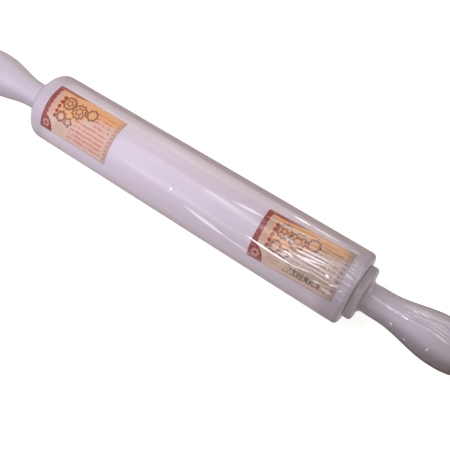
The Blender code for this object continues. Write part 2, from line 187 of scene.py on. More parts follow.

# Stretches of the film in mm along from the middle: start, end and the strength at each. The
# shoulder, under and collar shade stretches paint shade, weaker on the left shoulder, the neck
# light stretch paints light on the collars and fillets, and the sheen stretches and sides set
# how much painted dark reflection the handles' edges get, less on the left handle.
RIGHT_HALF = (0.0, 1.0)
FAN_STRETCH = (98.0, 126.0)
FINE_STRETCH = (60.0, 130.0, 0.09, 0.3)
SHOULDER_STRETCH = (164.0, 174.0)
SHOULDER_SHADE_STRETCH = (162.0, 178.0, 0.0, 1.25)
SHOULDER_SHADE_SIDES = (-1.0, 1.0, 0.65, 1.0)
GRIP_STRETCH = (226.0, 246.0)
NECK_LIGHT_STRETCH = (199.0, 206.0, 0.12, 0.0)
UNDER_SHADE_STRETCH = (196.0, 272.0, 0.8, 2.2)
COLLAR_SHADE_STRETCH = (197.0, 200.5, 1.1, 0.0)
COLLAR_SHEEN = (196.5, 198.5, 0.7, 0.2)
GRIP_SHEEN = (203.0, 212.0, 0.2, 1.0)
SHEEN_SIDES = (-1.0, 1.0, 0.4, 1.0)

# Strength of the fan, of the short wrinkles and of a handle's fine ones (more in the front
# of the right side, and everywhere), which are bumps and painted highlight lines, and of the
# painted highlight band on the barrel's upper side; then the scale of the painted highlight
# streaks along the barrel
FAN_STRENGTH = 0.34
SHORT_STRENGTH = (0.24, 0.08)
GRIP_STRENGTH = (0.36, 0.06)
UPPER_HIGHLIGHT_STRENGTH = 0.08
STREAK_HIGHLIGHT_SCALE = (4.0, 95.0, 95.0)

# Where the creases over the right label, bumps with painted highlight lines, spread from, and how
# far, in mm
FAN_ALONG = -20.0
FAN_UP = 39.0
FAN_SPREAD = 150.0

# The shell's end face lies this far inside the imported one, for the film's room
SHELL_BACK = 0.1 * MM

# Points nearer than this are one, and edges sharper than this stay sharp
MERGE_DISTANCE = 1e-7
SHARP_ANGLE = radians(40)

# The barrel's film: where it steps off the collar, where its mesh gets finer, and how
# far its puckers reach from the end edges
LIP_REACH = 0.4 * MM
LIP_RISE = 0.1 * MM
LIP_ROUND = 0.6 * MM
FINE_REACH = 18 * MM
PUCKER_REACH = 6 * MM
PUCKER_BASE = 2.718

# A handle's film: how much rounder its fillet is than the neck's, and where its puckers
# gather past the collar and spread out past the handle's face
FILLET_ROOM = 0.8 * MM
GATHER_START = 6 * MM
GATHER_LENGTH = 20 * MM
SPREAD_START = 60 * MM
SPREAD_LENGTH = 45 * MM

# Softboxes: place, width and tint
COOL = (0.87, 0.93, 1.0)
WARM = (1.0, 0.98, 0.85)
SOFTBOXES = {
    "near": ((-0.13, -0.25, 0.40), 0.5, COOL),
    "left": ((-0.30, -0.30, 0.32), 0.4, COOL),
    "far": ((-0.45, 0.45, 0.55), 0.5, WARM),
    "back": ((-0.10, 0.50, 0.30), 0.4, WARM),
    "side": ((0.50, 0.20, 0.35), 0.3, COOL),
}

# Half the floor's width in metres, the tint of its lift, and the camera frame's width in mm
FLOOR_HALF = 3.0
FLOOR_GLOW = (1.0, 0.995, 0.985)
FRAME_WIDTH = 36.0

# Share of light that spreads in the handles, how deep, and the scale of the clouding
HANDLE_MILKINESS = 0.3
HANDLE_MILK_DEPTH = 3 * MM
BARREL_CLOUDS = 18.0
HANDLE_CLOUDS = 30.0

# Radius on which the handle films' degrees and millimetres are measured
HANDLE_FILM_RADIUS = 20 * MM


def chosen(group):
    """The settings of one group, as they are set in the panel."""
    return getattr(bpy.context.scene, "rolling_pin_" + group)


def size(name, text, default):
    return FloatProperty(
        name=name,
        description=text,
        default=default,
        min=0.0,
        precision=5,
        subtype="DISTANCE",
        unit="LENGTH",
    )


def share(name, text, default):
    return FloatProperty(
        name=name,
        description=text,
        default=default,
        min=0.0,
        max=1.0,
        subtype="FACTOR",
    )


def power(name, text, default):
    return FloatProperty(name=name, description=text, default=default, min=0.0, unit="POWER")


def colour(name, text, default):
    return FloatVectorProperty(
        name=name,
        description=text,
        default=default,
        min=0.0,
        max=1.0,
        size=3,
        subtype="COLOR",
    )


class BarrelSettings(bpy.types.PropertyGroup):
    edge_round: size("Edge rounding", "Radius of the barrel's end edges", 5 * MM)
    film_room: size("Film room", "How far the plastic lies under the packed radius", 0.25 * MM)
    tint: colour("Plastic", "Milky plastic of the barrel", (0.695, 0.612, 0.75))
    roughness: share("Roughness", "Roughness of the moulded skin", 0.34)
    milkiness: share("Milkiness", "Share of the light that spreads inside", 0.35)
    milk_depth: size("Milk depth", "How deep the light spreads", 5 * MM)


class LabelSettings(bpy.types.PropertyGroup):
    lift: size("Lift", "Height of the label's face over the plastic", 0.13 * MM)
    thickness: size("Thickness", "Thickness of the printed sheet", 0.1 * MM)
    corner: size("Corner", "Radius of the label's corners", 1.4 * MM)
    margin: size("Margin", "How far the sheet reaches past the packed label", 1 * MM)
    slant: FloatProperty(
        name="Slant",
        description="How far askew the right label is stuck",
        default=radians(3.0),
        subtype="ANGLE",
        unit="ROTATION",
    )
    red: colour("Deep red", "Ink of the border and the leaves", (0.29, 0.026, 0.032))
    orange: colour("Orange", "Ink of the upper field", (0.76, 0.385, 0.175))
    cream: colour("Cream", "Colour of the bare sheet", (0.67, 0.472, 0.405))
    mauve: colour("Mauve", "Ink of the lattice and the margin", (0.40, 0.25, 0.25))
    brown: colour("Brown", "Ink of the cutter rings", (0.21, 0.05, 0.04))
    coral: colour("Coral", "Ink of the rows on the left label", (0.66, 0.155, 0.13))
    umber: colour("Umber", "Ink of the rows on the right label", (0.10, 0.07, 0.06))


class HandleSettings(bpy.types.PropertyGroup):
    collar_radius: size("Collar radius", "Radius of the collar", 27 * MM)
    collar_thickness: size("Collar thickness", "Thickness of the collar", 8 * MM)
    collar_front: size("Collar front", "Rounding of the collar's outer edge", 3.1 * MM)
    collar_back: size("Collar back", "Rounding of the edge at the barrel", 1.0 * MM)
    neck_radius: size("Neck radius", "Radius of the neck", 14.75 * MM)
    neck_fillet: size("Neck fillet", "Radius between collar and neck", 4.4 * MM)
    neck_length: size("Neck length", "Length of the straight neck", 20 * MM)
    swell_length: size("Swell length", "Length over which the grip swells", 56 * MM)
    belly_length: size("Belly length", "Length of the grip's thickest part", 5 * MM)
    grip_radius: size("Grip radius", "Largest radius of the grip", 23.3 * MM)
    tint: colour("Plastic", "Milky plastic of the handles", (0.655, 0.582, 0.71))
    roughness: share("Roughness", "Roughness of the moulded skin", 0.32)
    seam: size("Parting line", "Width of the mould's parting line", 0.35 * MM)


class FilmSettings(bpy.types.PropertyGroup):
    clearance: size("Clearance", "Height of the film over the plastic", 0.19 * MM)
    pucker: size("Pucker", "Depth of the puckers at the ends", 0.05 * MM)
    neck_pucker: size("Neck pucker", "Depth of the puckers at the neck", 0.3 * MM)
    lip: size("Lip", "Height over the collar at which the barrel's film ends", 0.3 * MM)
    opening: size("Opening", "Radius of the hole in each end of the film", 13.4 * MM)
    haze: share("Haze", "Share of light that the flat film holds back", 0.03)
    # The rim and outline shares paint a dark reflection where the barrel's film is seen edge-on
    rim: share("Rim", "Share added where the barrel's film is seen edge-on", 0.28)
    outline: share("Outline", "Share added at the very edge of the barrel's film", 0.13)
    # Share of painted shade on the barrel's upper side and shoulders, on the collars and under
    # the handles
    painted_shade: share("Lap", "Share added where the film lies in two layers", 0.12)
    # Share of the painted near-white highlight along a crease
    glint_share: share("Fold", "Share of light that a crease returns", 0.9)
    # Tone of the painted dark reflection at the barrel film's edges
    shade: colour("Shade", "Tone of the barrel's film seen edge-on", (0.43, 0.19, 0.12))
    # Tone of the painted shade on the barrel's upper side and shoulders
    layer: colour("Layer", "Tone of the barrel's film in two layers", (0.12, 0.09, 0.14))
    # The grip shares and tone paint a dark reflection where a handle's film is seen edge-on, and
    # the grip tone is also that of its painted shade
    grip_rim: share("Grip rim", "Share added where a handle's film is seen edge-on", 0.6)
    grip_outline: share("Grip outline", "Share added at the very edge of a handle's film", 0.3)
    grip_shade: colour("Grip shade", "Tone of a handle's film seen edge-on", (0.17, 0.115, 0.095))
    # Tone of the painted highlight along a crease
    glint: colour("Glint", "Tone of a crease", (1.0, 0.95, 1.0))


class SteelSettings(bpy.types.PropertyGroup):
    turned: colour("Turned steel", "Steel of all but the rings and balls", (0.56, 0.56, 0.58))
    bearing: colour("Bearing steel", "Steel of the rings and balls", (0.66, 0.66, 0.68))
    cage: colour("Cage", "Moulded bearing cages", (0.80, 0.74, 0.58))


class StageSettings(bpy.types.PropertyGroup):
    floor: colour("Floor", "Colour of the floor", (0.42, 0.415, 0.405))
    floor_lift: share("Floor lift", "How much whiter the floor looks to the camera", 0.85)
    fill: colour("Fill", "Colour of the soft light from all round", (1.0, 0.84, 0.62))
    fill_strength: share("Fill strength", "Strength of the soft light from all round", 0.29)
    near_power: power("Near softbox", "Power of the softbox over the left end", 1.62)
    left_power: power("Left softbox", "Power of the low softbox before the left end", 0.41)
    far_power: power("Far softbox", "Power of the softbox behind the left end", 0.81)
    back_power: power("Back softbox", "Power of the low softbox behind the barrel", 0.49)
    side_power: power("Side softbox", "Power of the softbox past the right end", 0.33)
    camera_place: FloatVectorProperty(
        name="Camera place",
        description="Where the camera stands",
        default=(0.22805, -0.26171, 0.55925),
        precision=5,
        subtype="TRANSLATION",
        unit="LENGTH",
    )
    camera_turn: FloatVectorProperty(
        name="Camera turn",
        description="How the camera is turned",
        default=(0.528189, 0.0, 0.620661),
        subtype="EULER",
        unit="ROTATION",
    )
    lens: FloatProperty(
        name="Lens",
        description="Focal length in millimetres on a 36 mm frame",
        default=49.34,
        min=1.0,
    )


class NodeBoard:
    """Short calls to add nodes to a tree and to link them, laid out in columns."""

    def __init__(self, tree):
        self.tree = tree
        self.count = 0

    def add(self, kind, feeds=None, **settings):
        node = self.tree.nodes.new(kind)
        column, row = divmod(self.count, NODE_ROWS)
        node.location = (column * NODE_COLUMN, -row * NODE_ROW)
        self.count += 1
        for name, value in settings.items():
            setattr(node, name, value)
        for key, value in (feeds or {}).items():
            self.feed(node.inputs[key], value)
        return node

    def feed(self, socket, value):
        if isinstance(value, bpy.types.NodeSocket):
            self.tree.links.new(value, socket)
        elif socket.type == "RGBA" and len(value) == 3:
            socket.default_value = (*value, 1.0)
        else:
            socket.default_value = value

    def math(self, operation, *values, clamp=False):
        node = self.add("ShaderNodeMath", operation=operation, use_clamp=clamp)
        for socket, value in zip(node.inputs, values):
            self.feed(socket, value)
        return node.outputs[0]

    def times(self, value, *others):
        for other in others:
            value = self.math("MULTIPLY", value, other)
        return value

    def most(self, value, *others):
        for other in others:
            value = self.math("MAXIMUM", value, other)
        return value

    def plus(self, value, other, clamp=False):
        return self.math("ADD", value, other, clamp=clamp)

    def less(self, value, other):
        return self.math("SUBTRACT", value, other)

    def over(self, value, other, clamp=False):
        return self.math("DIVIDE", value, other, clamp=clamp)

    def line(self, value, slope, start):
        """The value times slope, plus start."""
        return self.math("MULTIPLY_ADD", value, slope, start)

    def absolute(self, value):
        return self.math("ABSOLUTE", value)

    def vector(self, operation, *values):
        node = self.add("ShaderNodeVectorMath", operation=operation)
        for socket, value in zip(node.inputs, values):
            self.feed(socket, value)
        return node.outputs["Value" if operation in ("DOT_PRODUCT", "LENGTH") else "Vector"]

    def scale(self, vector, factor):
        feeds = {0: vector, "Scale": factor}
        return self.add("ShaderNodeVectorMath", feeds, operation="SCALE").outputs[0]

    def ramp(self, value, low, high, start=0.0, end=1.0):
        """start where the value is at low, end where it is at high, smooth between."""
        feeds = {"Value": value, 1: low, 2: high, 3: start, 4: end}
        node = self.add("ShaderNodeMapRange", feeds, interpolation_type="SMOOTHSTEP")
        return node.outputs["Result"]

    def fall(self, value, low, high):
        """1 where the value is at low, 0 where it is at high, smooth between."""
        return self.ramp(value, low, high, 1.0, 0.0)

    def between(self, value, low, high, soft):
        """1 between low and high, fading out over soft at both ends."""
        rise = self.ramp(value, low - soft, low + soft)
        return self.times(rise, self.fall(value, high - soft, high + soft))

    def noise(self, vector, scale, detail=2.0, distortion=0.0):
        feeds = {"Vector": vector, "Scale": scale, "Detail": detail, "Distortion": distortion}
        return self.add("ShaderNodeTexNoise", feeds).outputs["Fac"]

    def mix(self, part, first, second):
        node = self.add("ShaderNodeMix", data_type="RGBA")
        colours = [socket for socket in node.inputs if socket.type == "RGBA"]
        self.feed(node.inputs[0], part)
        self.feed(colours[0], first)
        self.feed(colours[1], second)
        return [socket for socket in node.outputs if socket.type == "RGBA"][0]

    def shade(self, tint, value, saturation=1.0):
        feeds = {"Color": tint, "Value": value, "Saturation": saturation}
        return self.add("ShaderNodeHueSaturation", feeds).outputs["Color"]

    def split(self, vector):
        return self.add("ShaderNodeSeparateXYZ", {0: vector}).outputs

    def join(self, x, y=0.0, z=0.0):
        return self.add("ShaderNodeCombineXYZ", {0: x, 1: y, 2: z}).outputs[0]

    def place(self):
        """The point in the piece's own coordinates, which turn with it."""
        return self.add("ShaderNodeTexCoord").outputs["Object"]

    def group(self, name, feeds):
        return self.add("ShaderNodeGroup", feeds, node_tree=bpy.data.node_groups[name]).outputs


FLOAT, VECTOR, COLOUR = "NodeSocketFloat", "NodeSocketVector", "NodeSocketColor"
SKIN_OUTPUTS = {"Colour": COLOUR, "Roughness": FLOAT, "Height": FLOAT}


def socket_kind(default):
    """A number's, a vector's or a colour's kind of socket."""
    if isinstance(default, float):
        return FLOAT
    return VECTOR if len(default) == 3 else COLOUR


def new_group(name, inputs, outputs):
    """A node group with named sockets: its board, its input sockets, its output sockets."""
    tree = bpy.data.node_groups.new(name, "ShaderNodeTree")
    for label, default in inputs.items():
        kind = socket_kind(default)
        socket = tree.interface.new_socket(label, in_out="INPUT", socket_type=kind)
        socket.default_value = default
    for label, kind in outputs.items():
        tree.interface.new_socket(label, in_out="OUTPUT", socket_type=kind)
    board = NodeBoard(tree)
    entry = board.add("NodeGroupInput")
    exit_node = board.add("NodeGroupOutput")
    return board, entry.outputs, exit_node.inputs


def add_round_place_group():
    """A point as millimetres along and round the pin, and moved onto an even cylinder."""
    inputs = {"Axis height": 0.0, "Radius": 0.03}
    board, given, wanted = new_group("Round place", inputs, {"Flat": VECTOR, "Even": VECTOR})
    x, y, z = board.split(board.place())[:3]
    rise = board.less(z, given["Axis height"])
    turn = board.math("ARCTAN2", rise, board.times(y, -1.0))
    flat = board.join(x, board.times(turn, given["Radius"]))
    board.feed(wanted["Flat"], board.scale(flat, 1 / MM))
    outward = board.vector("NORMALIZE", board.join(0.0, y, rise))
    even = board.vector("ADD", board.scale(outward, given["Radius"]), board.join(x))
    board.feed(wanted["Even"], even)


def add_crease_group():
    """Painted highlight line along one crease between two points, thinning towards both ends."""
    inputs = {"Place": (0, 0, 0), "Start": (0, 0, 0), "End": (1, 0, 0), "Width": 1.0}
    board, given, wanted = new_group("Crease", inputs, {"Mask": FLOAT})
    run = board.vector("SUBTRACT", given["End"], given["Start"])
    reach = board.vector("SUBTRACT", given["Place"], given["Start"])
    along = board.vector("DOT_PRODUCT", reach, run)
    part = board.over(along, board.vector("DOT_PRODUCT", run, run), clamp=True)
    offset = board.vector("SUBTRACT", reach, board.scale(run, part))
    distance = board.vector("LENGTH", offset)
    taper = board.math("SINE", board.times(part, pi))
    width = board.times(given["Width"], board.plus(taper, 0.15))
    board.feed(wanted["Mask"], board.fall(board.over(distance, width), 0.0, 1.0))


def add_wrinkle_group():
    """Fine wrinkles that run along X, in patches."""
    inputs = {"Vector": (0, 0, 0), **dict(zip(WRINKLE_SETTINGS, FINE_WRINKLES))}
    board, given, wanted = new_group("Wrinkles", inputs, {"Mask": FLOAT})
    scale = board.join(given["Along"], given["Across"], given["Across"])
    stretched = board.vector("MULTIPLY", given["Vector"], scale)
    wave = board.noise(stretched, 1.0, distortion=0.25)
    away = board.absolute(board.less(wave, 0.5))
    line = board.fall(board.over(away, given["Thinness"]), 0.0, 1.0)
    patch = board.noise(given["Vector"], given["Patches"], detail=1.0)
    limit = board.less(1.0, given["Amount"])
    kept = board.ramp(board.less(patch, limit), -0.06, 0.12)
    board.feed(wanted["Mask"], board.times(line, kept))


def add_moulded_group():
    """Moulded plastic: faint clouding, fine orange peel and a few rubbed spots."""
    inputs = {
        "Colour": (0.7, 0.6, 0.7, 1),
        "Roughness": 0.3,
        "Cloud size": 18.0,
        "Clouding": 0.03,
    }
    board, given, wanted = new_group("Moulded plastic", inputs, SKIN_OUTPUTS)
    place = board.place()
    cloud = board.noise(place, given["Cloud size"], detail=3.0)
    level = board.times(board.less(cloud, 0.5), given["Clouding"])
    value, saturation = board.line(level, 2.0, 1.0), board.line(level, -3.0, 1.0)
    board.feed(wanted["Colour"], board.shade(given["Colour"], value, saturation))
    streak = board.vector("MULTIPLY", place, (30.0, 260.0, 260.0))
    rub = board.ramp(board.noise(streak, 1.0, detail=3.0), 0.52, 0.72)
    board.feed(wanted["Roughness"], board.line(rub, RUB, given["Roughness"]))
    peel = board.noise(place, PEEL_SCALE, detail=1.0)
    board.feed(wanted["Height"], board.line(rub, -0.2, peel))


def add_turned_group():
    """Turned steel: rings round the X axis from the tool, and faint oil stains."""
    inputs = {"Colour": (0.6, 0.6, 0.6, 1), "Roughness": 0.25, "Rings": 2500.0, "Stains": 0.15}
    board, given, wanted = new_group("Turned steel", inputs, SKIN_OUTPUTS)
    place = board.place()
    ring = board.noise(board.join(board.times(board.split(place)[0], given["Rings"])), 1.0)
    stain = board.ramp(board.noise(place, 160.0, detail=3.0), 0.45, 0.75)
    part = board.times(stain, given["Stains"])
    dark = board.vector("MULTIPLY", given["Colour"], OIL_TINT)
    board.feed(wanted["Colour"], board.mix(part, given["Colour"], dark))
    grooves = board.line(ring, 0.12, given["Roughness"])
    board.feed(wanted["Roughness"], board.line(part, 0.6, grooves))
    board.feed(wanted["Height"], ring)


def add_parting_group():
    """The raised line that a mould's two halves leave on a turned shape, front and back."""
    board, given, wanted = new_group("Parting line", {"Width": 0.0003}, {"Mask": FLOAT})
    y = board.split(board.place())[1]
    away = board.over(board.absolute(y), given["Width"])
    board.feed(wanted["Mask"], board.fall(away, 0.3, 1.0))


def ring_mask(board, u, v, middle, radius, petals, depth, width):
    """A scalloped ring, like a pastry cutter's outline, on the label's millimetres."""
    across, up = board.less(u, middle[0]), board.less(v, middle[1])
    angle = board.math("ARCTAN2", up, across)
    wave = board.math("COSINE", board.times(angle, float(petals)))
    rim = board.line(wave, depth, radius)
    away = board.vector("LENGTH", board.join(across, up))
    return board.fall(board.absolute(board.less(away, rim)), width * 0.4, width)


def box_mask(board, u, v, box, soft=0.25):
    """1 inside a rectangle of the label's millimetres."""
    (left, bottom), (right, top) = box
    across = board.between(u, left, right, soft)
    return board.times(across, board.between(v, bottom, top, soft))


def wavy(board, value, period, height=1.0, start=0.0):
    """start plus a sine wave of the value."""
    wave = board.math("SINE", board.times(board.over(value, period), 2 * pi))
    return board.line(wave, height, start)


def band_mask(board, u, v):
    """A scalloped border at the left, a corner disc and a top border that tapers off."""
    scallop = board.absolute(wavy(board, v, SCALLOP_PITCH, 1.1))
    left = board.fall(board.less(u, scallop), 4.5, 5.1)
    taper = board.most(board.line(u, 0.16, -3.8), 0.0)
    top = board.ramp(board.less(v, taper), 45.9, 46.5)
    disc = board.fall(board.vector("LENGTH", board.join(u, v)), 15.6, 16.2)
    return board.most(left, top, disc)


def lattice_mask(board, u, v):
    """The crossed strips of a pie's lid."""
    total = 0.0
    for sign in (1.0, -1.0):
        strip = board.absolute(wavy(board, board.line(v, sign, u), 4.2))
        total = board.most(total, board.fall(strip, 0.3, 0.65))
    return total


def stitch_mask(board, u, v, box, pitch):
    """Broken rows of slanted stitches, like ears of wheat, inside a rectangle."""
    lane = wavy(board, u, 17.0, 0.25, v)
    ridge = wavy(board, lane, pitch)
    row = board.ramp(ridge, -0.35, 0.35)
    slanted = board.line(board.absolute(ridge), 1.3, u)
    barb = board.ramp(wavy(board, slanted, 2.9), -0.9, 0.3, 0.6, 1.0)
    number = board.math("FLOOR", board.over(lane, pitch))
    run = board.join(board.times(u, 0.4), board.times(number, 7.3))
    kept = board.ramp(board.noise(run, 1.0), 0.40, 0.48, 0.12, 1.0)
    return board.times(row, barb, kept, box_mask(board, u, v, box))


def tuft_mask(board, u, v, box):
    """Uneven upright tufts, like grass, inside a rectangle."""
    blade = board.join(board.times(u, 0.75), board.times(v, 0.2))
    mask = board.ramp(board.noise(blade, 1.0), 0.47, 0.55)
    return board.times(mask, box_mask(board, u, v, box, 1.2))


def add_label_group():
    """A printed sheet: scalloped border, lattice strip, cutter rings and stitched rows."""
    inks = ("Red", "Orange", "Cream", "Mauve", "Rings", "Rows")
    inputs = {**dict.fromkeys(inks, (0.5, 0.5, 0.5, 1)), **LABEL_ROWS["left"]}
    board, given, wanted = new_group("Label print", inputs, SKIN_OUTPUTS)
    uv = board.add("ShaderNodeUVMap", uv_map="label_mm").outputs[0]
    u, v = board.split(uv)[:2]

    edge = wavy(board, u, 48.0, 2.5, board.line(u, 0.34, 11.0))
    field = board.ramp(board.less(v, edge), -2.5, 5.0)
    margin = board.times(board.ramp(u, 79.0, 84.0), 0.45)
    rows = [stitch_mask(board, u, v, box, given["Row pitch"]) for box in ROW_BOXES]
    beads = board.ramp(wavy(board, v, BEAD_PITCH), 0.0, 0.5)
    rows.append(board.times(beads, box_mask(board, u, v, BEAD_BOX)))
    rows = board.times(board.most(*rows), given["Row strength"])
    tufts = tuft_mask(board, u, v, TUFT_BOX)
    rows = board.most(rows, board.times(tufts, given["Tufts"]))
    small = stitch_mask(board, u, v, SMALL_ROW_BOX, SMALL_ROW_PITCH)
    rings = board.most(*[ring_mask(board, u, v, *ring) for ring in LABEL_RINGS])
    strip = box_mask(board, u, v, STRIP_BOX)
    lattice = board.times(lattice_mask(board, u, v), strip)
    bead = board.absolute(wavy(board, v, SCALLOP_PITCH))
    across = board.absolute(board.line(u, 0.42, -6.1))
    leaf = board.ramp(board.less(bead, across), 0.0, 0.2)
    leaf = board.times(leaf, box_mask(board, u, v, LEAF_BOX))
    band = band_mask(board, u, v)
    rosette = ring_mask(board, u, v, *ROSETTE)

    tint = given["Cream"]
    layers = (
        (field, 1.0, "Orange"),
        (margin, 1.0, "Mauve"),
        (rows, 1.0, "Rows"),
        (small, 0.6, "Mauve"),
        (rings, 0.9, "Rings"),
        (strip, 0.8, "Cream"),
        (lattice, 0.7, "Mauve"),
        (leaf, 1.0, "Red"),
        (band, 1.0, "Red"),
        (rosette, 0.6, "Cream"),
    )
    for mask, strength, ink in layers:
        tint = board.mix(board.times(mask, strength), tint, given[ink])
    fibre = board.noise(board.scale(uv, 1.2), 2.0, detail=4.0)
    board.feed(wanted["Colour"], board.shade(tint, board.line(fibre, 0.12, 0.94)))
    ink = board.most(band, rings, leaf)
    board.feed(wanted["Roughness"], board.line(ink, -0.12, 0.46))
    board.feed(wanted["Height"], ink)


def add_groups():
    add_round_place_group()
    add_crease_group()
    add_wrinkle_group()
    add_moulded_group()
    add_turned_group()
    add_parting_group()
    add_label_group()


def new_material(name, **constants):
    """A material's board and its Principled shader, with its constant values set."""
    material = bpy.data.materials.new(name)
    material.use_nodes = True
    board = NodeBoard(material.node_tree)
    shader = material.node_tree.nodes["Principled BSDF"]
    shader.location = (5 * NODE_COLUMN, NODE_ROW)
    material.node_tree.nodes["Material Output"].location = (7 * NODE_COLUMN, NODE_ROW)
    for key, value in constants.items():
        board.feed(shader.inputs[key.replace("_", " ")], value)
    return material, board, shader


def add_bump(board, shader, height, distance, strength=1.0):
    feeds = {"Height": height, "Distance": distance, "Strength": strength}
    bump = board.add("ShaderNodeBump", feeds)
    board.feed(shader.inputs["Normal"], bump.outputs["Normal"])


def finished_material(name, group, feeds, depth, seam=None, **constants):
    """A material with the colour, roughness and relief of a shader group, depth deep."""
    material, board, shader = new_material(name, **constants)
    skin = board.group(group, feeds)
    height = skin["Height"]
    if seam is not None:
        line = board.group("Parting line", {"Width": seam})["Mask"]
        height = board.line(line, SEAM_HEIGHT, height)
    board.feed(shader.inputs["Base Color"], skin["Colour"])
    board.feed(shader.inputs["Roughness"], skin["Roughness"])
    add_bump(board, shader, height, depth)
    return material


def milky_plastic(name, settings, milkiness, milk_depth, clouds, seam=None):
    """Moulded plastic in which some light spreads below the skin."""
    return finished_material(
        name,
        "Moulded plastic",
        {"Colour": settings.tint, "Roughness": settings.roughness, "Cloud size": clouds},
        SKIN_RELIEF,
        seam,
        Subsurface_Weight=milkiness,
        Subsurface_Radius=MILK_SPREAD,
        Subsurface_Scale=milk_depth,
        Specular_IOR_Level=0.35,
    )


def barrel_plastic():
    settings = chosen("barrel")
    milk = settings.milkiness, settings.milk_depth
    return milky_plastic("barrel_plastic", settings, *milk, BARREL_CLOUDS)


def handle_plastic():
    settings = chosen("handle")
    milk = HANDLE_MILKINESS, HANDLE_MILK_DEPTH
    return milky_plastic("handle_plastic", settings, *milk, HANDLE_CLOUDS, settings.seam)


def label_paper(side):
    settings = chosen("label")
    feeds = {
        "Red": settings.red,
        "Orange": settings.orange,
        "Cream": settings.cream,
        "Mauve": settings.mauve,
        "Rings": settings.brown,
        "Rows": settings.coral if side == "left" else settings.umber,
        **LABEL_ROWS[side],
    }
    return finished_material(
        "label_paper_" + side, "Label print", feeds, INK_RELIEF, Specular_IOR_Level=0.4
    )


def film_material(name, glints_and_shade, shade, edge, outline, layer=None):
    """Clear film. glints_and_shade(board) gives the masks of its painted crease highlights, its
    painted shade, its relief and the strength of its painted dark reflection at the edges.

    shade is the tone of that dark reflection, and layer, if given, the tone of its painted shade.
    """
    settings = chosen("film")
    material, board, shader = new_material(name, Roughness=0.16, Specular_IOR_Level=0.0)
    crease_glints, painted_shade, relief, sheen = glints_and_shade(board)
    # Where the film is seen edge-on it gets a painted dark reflection in the shade tone
    edge_on = board.add("ShaderNodeLayerWeight", {"Blend": 0.5}).outputs["Facing"]
    rim = board.times(board.math("POWER", edge_on, 2.2), edge)
    rim = board.plus(rim, board.ramp(edge_on, 0.6, 0.9, 0.0, outline))
    rim = board.line(rim, sheen, settings.haze)
    # Painted shade, in the layer tone where one is given
    shade_alpha = board.times(painted_shade, settings.painted_shade)
    clear = board.plus(shade_alpha, rim)
    tone = shade
    if layer is not None:
        tone = board.mix(board.over(shade_alpha, clear, clamp=True), shade, layer)
    # Along the crease glints the film turns into a near-white mirror of the white surroundings, a
    # painted highlight
    glint_alpha = board.times(crease_glints, settings.glint_share)
    board.feed(shader.inputs["Alpha"], board.plus(glint_alpha, clear, clamp=True))
    part = board.over(glint_alpha, board.plus(glint_alpha, clear), clamp=True)
    board.feed(shader.inputs["Base Color"], board.mix(part, tone, settings.glint))
    board.feed(shader.inputs["Metallic"], part)
    add_bump(board, shader, relief, FILM_RELIEF, 0.7)
    return material


# Creases in the film, painted as near-white highlight lines: mm along and degrees up from the
# front of the start and of the end, width in mm and strength. The first ones lie on the open
# barrel, two of them short painted highlight spots, the next ones over the right label and at
# the barrel's end, then come four underneath and at the back, and three broad, faint ones
# that paint soft highlight bands.
BARREL_CREASE_GLINTS = (
    (14, 36.7, 66, 29.2, 2.9, 1.0),
    (56, 30.5, 96, 26.0, 1.2, 0.6),
    (54, 80.6, 88, 83.5, 2.4, 1.0),
    (-5.6, 48.6, -4.8, 48.3, 1.7, 0.95),
    (-7.4, 44.0, -6.0, 43.2, 1.3, 0.4),
    (108, 113, 129, 113, 1.5, 0.85),
    (124, 113, 158, 114.7, 1.5, 0.55),
    (169, 112.6, 178, 114.2, 1.5, 0.6),
    (88, 86.8, 124, 92.0, 0.8, 0.7),
    (121, 91.6, 144, 96.5, 0.8, 0.6),
    (98, 86.2, 133, 89.0, 0.7, 0.65),
    (107, 87.8, 133, 94.4, 0.7, 0.6),
    (83, 48.3, 118, 45.6, 0.9, 0.75),
    (107, 46.3, 139, 46.0, 1.0, 0.7),
    (132, 45.8, 151, 51.4, 0.8, 0.6),
    (111, 75.6, 126, 73.6, 1.1, 0.5),
    (119.5, 58.3, 130.5, 56.4, 1.6, 0.45),
    (140, 63.5, 147, 61.9, 1.3, 0.45),
    (112, 69, 176, 79, 9.0, 0.07),
    (122, 71.0, 173, 81.6, 0.9, 0.75),
    (127, 67.4, 168, 73.6, 0.8, 0.7),
    (128, 60.8, 161, 69.3, 0.8, 0.5),
    (132, 60.2, 163, 63.0, 0.7, 0.45),
    (138, 73.5, 172, 78.0, 0.8, 0.65),
    (163, 59.5, 167, 57.9, 1.6, 0.7),
    (170, 50.0, 178, 54.1, 1.5, 0.7),
    (155, 42.8, 163, 44.1, 1.5, 0.7),
    (163, 41.7, 177, 40.2, 0.9, 0.6),
    (165, 38.9, 178, 37.9, 0.8, 0.6),
    (177.5, 97.2, 181.5, 97.2, 1.0, 0.55),
    (178.0, 92.0, 183.5, 92.6, 1.1, 0.6),
    (177.5, 85.5, 184.5, 85.0, 1.2, 0.65),
    (177.0, 80.8, 184.5, 80.0, 1.2, 0.65),
    (176.5, 74.2, 187.0, 72.4, 1.5, 0.65),
    (185.2, 63.0, 186.2, 64.2, 1.7, 0.6),
    (180.2, 48.4, 183.3, 53.5, 1.2, 0.6),
    (184.5, 48.3, 185.7, 48.7, 1.3, 0.5),
    (178.5, 42.5, 184.5, 38.8, 1.4, 0.3),
    (182.5, 38.8, 189.5, 42.6, 1.4, 0.3),
    (-120, -52, -62, -46, 1.0, 0.8),
    (-30, -96, 24, -91, 1.0, 0.8),
    (40, 150, 98, 156, 1.1, 0.9),
    (-92, 139, -40, 135, 0.9, 0.7),
    (-110, 77, 90, 76, 7.5, 0.05),
    (25, 74, 92, 79, 7.0, 0.18),
    (-70, 48, 70, 43, 8.0, 0.05),
)
